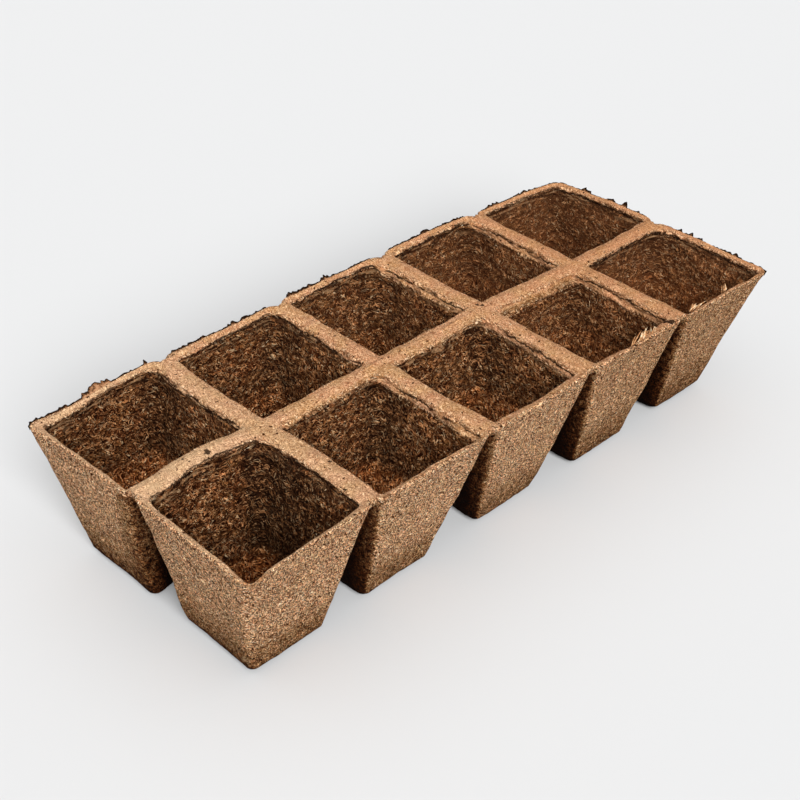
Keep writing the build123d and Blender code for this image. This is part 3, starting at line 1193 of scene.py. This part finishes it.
def felt_colour(g, place, tint, gaps, patches, fold, zone):
    """Dark felt: red-brown and olive fibres over black gaps, and a few pale hairs, with painted shade and
    painted light. Gives its clumps too.
    """
    painted_corner_shade, deep = g.attribute("painted_corner_shade"), g.attribute("deep")
    dark = g.ramp(tint, (
        (0, (40, 14, 3)), (0.3, (134, 74, 38)), (0.6, (216, 142, 90)), (0.88, (252, 190, 134)),
        (0.94, (255, 218, 170)),
    ))
    # Olive patches, and an olive tint in the painted shade of the far corner
    olive = g.math("MAXIMUM", g.times(patches, 0.5), g.times(painted_corner_shade, 0.4))
    dark = g.mix(olive, dark, (152, 108, 62))
    clump_place = g.vector("MULTIPLY", place, (1.0, 1.0, 0.45))
    clumps = g.remap(g.noise_at(clump_place, 1 / (1.9 * METRES), 3.0), 0.42, 0.6)
    # Painted shade between the clumps of the felt, where the bump lies low
    dark = g.mix(g.times(g.minus(1.0, clumps), 0.7), dark, (56, 22, 6))
    dark = g.mix(gaps, dark, (34, 10, 1))
    broad = g.remap(g.noise(13), 0.3, 0.7)
    dark = g.mix(g.times(broad, 0.2), dark, (84, 42, 18))
    dark = g.mix(g.attribute("calm"), dark, (112, 68, 40))
    # Along the far walls under the lip: painted shade in the troughs of the folds, and a lighter brown on
    # their crests
    dark = g.mix(g.times(zone, g.remap(fold, 0.52, 0.44, 0.0, 0.7)), dark, (26, 14, 8))
    dark = g.mix(g.times(zone, g.remap(fold, 0.54, 0.62, 0.0, 0.75)), dark, (164, 128, 92))
    # Painted shade in the far corner of the hollow, weaker where light is painted low in it
    corner_shade_share = g.times(painted_corner_shade, g.minus(0.72, g.times(deep, 0.55)))
    corner_shade_share = g.times(corner_shade_share, g.remap(tint, 0.2, 0.9, 1.2, 0.55), clamp=True)
    dark = g.mix(corner_shade_share, dark, (24, 12, 6))
    # Painted light: the felt low in the hollow made lighter and redder
    return g.mix(deep, dark, g.mix(1.0, dark, PAINTED_LIGHT_GAIN, "MULTIPLY")), clumps


def cracks(g, below, run, skin_edge, jag):
    """Where the surface is grooved and darkened with painted shade: cracks along the east walls, a painted
    shadow line under the edge of the skin, and the pits of the webs.
    """
    depth = g.remap(g.noise_at(g.combine(run, 0.0, 9.1), 0.12, 4.0, 0.6), 0.25, 0.75, 0.9, 2.9)
    width = g.remap(g.noise(3.5, 2, 0.6), 0.35, 0.65, 0.02, 0.3)
    away = g.math("ABSOLUTE", g.minus(below, g.plus(depth, jag)))
    groove_and_shade = g.remap(g.minus(away, width), 0.0, 0.2, 1.0, 0.0)
    groove_and_shade = g.times(groove_and_shade, g.attribute("east"), g.remap(g.noise(9, 2, 0.5), 0.36, 0.44))
    # Painted shadow: a dark line under the edge of the skin, where the lip hangs over the felt
    away = g.math("ABSOLUTE", g.minus(below, g.plus(skin_edge, 0.25)))
    under = g.remap(g.minus(away, g.times(width, 0.8)), 0.0, 0.22, 1.0, 0.0)
    under = g.times(under, g.attribute("lip_shadow"), g.remap(g.noise(12, 2, 0.5), 0.36, 0.46))
    groove_and_shade = g.math("MAXIMUM", groove_and_shade, under)
    pit_jag = g.remap(g.noise(0.8, 2, 0.6), 0.3, 0.7, -PIT_JAG * METRES, PIT_JAG * METRES)
    for x, y, radius in PITS:
        offset = g.vector("SUBTRACT", g.place, (x * METRES, y * METRES, HEIGHT * METRES))
        squeezed = g.vector("MULTIPLY", offset, PIT_SQUEEZE)
        away = g.add("ShaderNodeVectorMath", {0: squeezed}, operation="LENGTH").outputs["Value"]
        pit = g.remap(g.plus(away, pit_jag), radius * METRES, (radius + PIT_EDGE) * METRES, 1.0, 0.0)
        groove_and_shade = g.math("MAXIMUM", groove_and_shade, pit)
    return groove_and_shade


def fibre_material():
    """Moulded peat fibre: pale strands outside, a smoother and paler rim, and a dark felt inside."""
    g = Graph("moulded_peat_fibre")
    felt, below, run, east = (g.attribute(name) for name in ("felt", "below", "run", "east"))
    on_wall = g.math("GREATER_THAN", g.attribute("wall"), 0.5)
    along_wall = g.vector("MULTIPLY", g.combine(below, 0.0, run), (METRES,) * 3)
    place = g.vector_mix(on_wall, g.place, along_wall)
    scale = g.blend(on_wall, 1 / (0.42 * METRES), 1 / (0.47 * METRES))
    tint, height = woven(g, on_wall, place, scale, g.blend(on_wall, 2.4, 5.0))
    gaps = g.remap(height, g.blend(on_wall, 0.65, 0.68), g.blend(on_wall, 0.47, 0.5))
    patches = g.remap(g.noise(4.0), 0.35, 0.65)
    flecks = g.remap(g.noise(1.3, 1, 0.5), 0.68, 0.73)
    skin_edge, skin_share, fold, jag = lip_skin(g, below, run, tint)
    inside = g.times(felt, g.minus(1.0, skin_share))
    on_rim = g.math("MAXIMUM", g.attribute("skin"), g.times(felt, skin_share))
    zone = g.times(g.attribute("far"), g.remap(below, 5.5, 3.0), g.remap(below, 0.3, 1.0))

    outer = outer_colour(g, tint, gaps, flecks, patches)
    colour = g.mix(on_rim, outer, rim_colour(g, tint, gaps, flecks, skin_share))
    dark, clumps = felt_colour(g, place, tint, gaps, patches, fold, zone)
    colour = g.mix(inside, colour, dark)
    frayed = g.times(east, zone, g.remap(fold, 0.47, 0.41, 0.0, 0.7))
    colour = g.mix(frayed, colour, (92, 60, 38))
    groove_and_shade = cracks(g, below, run, skin_edge, jag)
    # Painted shade in the cracks and pits, and the painted shadow line under the lip
    colour = g.mix(g.times(groove_and_shade, 0.9), colour, (34, 17, 8))

    relief = g.times(height, g.remap(on_rim, 0, 1, 1.0, 0.4))
    relief = g.plus(relief, g.times(inside, clumps))
    g.bump(1.0, 0.75, g.minus(relief, g.times(groove_and_shade, 1.5)))
    return g.finished(colour, 0.92, 0.03)


def strand_material():
    """Loose fibres, from dark brown to straw, mottled along their length."""
    g = Graph("loose_fibre")
    mottle = g.remap(g.noise(1.2, 2, 0.6), 0.3, 0.7, -0.2, 0.2)
    colour = g.ramp(g.plus(g.attribute("tone"), mottle, clamp=True), (
        (0, (66, 30, 12)), (0.4, (134, 80, 44)), (0.7, (188, 130, 84)), (0.88, (228, 176, 126)),
        (1, (255, 234, 196)),
    ))
    return g.finished(colour, 0.85, 0.05)


def flash_material():
    """Torn flash: brown where it leaves the rim, nearly black at its edge."""
    g = Graph("torn_fibre")
    mottle = g.remap(g.noise(0.8, 3, 0.6), 0.3, 0.7, -0.35, 0.35)
    colour = g.ramp(g.plus(g.attribute("flash_darkness"), mottle, clamp=True), (
        (0, (180, 134, 98)), (0.3, (126, 86, 57)), (0.55, (46, 29, 18)), (1, (18, 12, 8)),
    ))
    g.bump(0.8, 0.3, g.noise(0.5, 2, 0.6))
    return g.finished(colour, 0.95, 0.03)


def floor_material():
    """A pale floor that the camera sees lighter than the light it throws back up."""
    g = Graph("pale_floor")
    rays = g.add("ShaderNodeLightPath").outputs
    seen = g.plus(rays["Is Camera Ray"], rays["Is Glossy Ray"], clamp=True)
    seen = g.plus(seen, rays["Is Transmission Ray"], clamp=True)
    return g.finished(g.mix(seen, (120, 121, 122), (214, 214.5, 215)), 0.9)


# Stage


def make_floor():
    half = 3000.0
    corners = np.array([(-half, -half, 0), (half, -half, 0), (half, half, 0), (-half, half, 0)])
    floor = add_mesh("floor", corners, [(0, 1, 2, 3)], floor_material())


def aimed(eye, target, roll=0.0):
    """A matrix that puts an object at eye and points its -Z axis at target, both in millimetres."""
    back = np.array(eye, float) - np.array(target, float)
    back /= np.linalg.norm(back)
    across = np.cross((0, 0, 1), back)
    across /= np.linalg.norm(across)
    up = np.cross(back, across)
    turned_across = math.cos(roll) * across + math.sin(roll) * up
    turned_up = math.cos(roll) * up - math.sin(roll) * across
    matrix = np.eye(4)
    matrix[:3, 0], matrix[:3, 1], matrix[:3, 2] = turned_across, turned_up, back
    matrix[:3, 3] = np.array(eye) * METRES
    return Matrix(matrix.tolist())


def make_camera():
    """The photograph's view, fitted to the rims and bases."""
    azimuth, elevation, roll = math.radians(47.6), math.radians(35.06), math.radians(3.6)
    target = np.array([-8.1, 5.8, 25.0])
    distance = 481.0
    forward = np.array([
        math.sin(azimuth) * math.cos(elevation),
        math.cos(azimuth) * math.cos(elevation),
        -math.sin(elevation),
    ])
    camera = bpy.data.objects.new("camera", bpy.data.cameras.new("camera"))
    camera.data.sensor_width = 36.0
    camera.data.lens = 63.4
    camera.data.clip_start = 0.01
    camera.matrix_world = aimed(target - forward * distance, target, roll)
    bpy.context.scene.collection.objects.link(camera)
    bpy.context.scene.camera = camera


def make_sun(name, direction, spread, strength):
    """A soft distant lamp that shines from a direction."""
    lamp = bpy.data.objects.new(name, bpy.data.lights.new(name, "SUN"))
    lamp.data.angle = math.radians(spread)
    lamp.data.energy = strength
    lamp.matrix_world = aimed(direction, (0, 0, 0))
    bpy.context.scene.collection.objects.link(lamp)


def make_light():
    make_sun("key", (-430, -720, 600), spread=35, strength=3.7)
    make_sun("top", (-100, 100, 1000), spread=90, strength=0.6)
    world = bpy.data.worlds.new("studio")
    bpy.context.scene.world = world
    world.use_nodes = True
    world.node_tree.nodes["Background"].inputs["Color"].default_value = (1.0, 1.0, 1.0, 1.0)
    world.node_tree.nodes["Background"].inputs["Strength"].default_value = 0.42


fibre, strand, flash = fibre_material(), strand_material(), flash_material()
for row_number, letter in enumerate(ROW_LETTERS):
    for column_number in range(COLUMN_COUNT):
        pot_name = letter + str(column_number + 1)
        pot_number = column_number + COLUMN_COUNT * row_number
        pot_points, pot_attributes, edge_row = make_pot(pot_name, column_number, row_number, fibre)
        make_fibres(pot_name, pot_points, pot_attributes, pot_number, strand)
        make_flash(pot_name, pot_points, joined_sides(column_number, row_number), edge_row, flash)
make_floor()
make_light()
make_camera()
bpy.context.scene.view_settings.view_transform = "Standard"
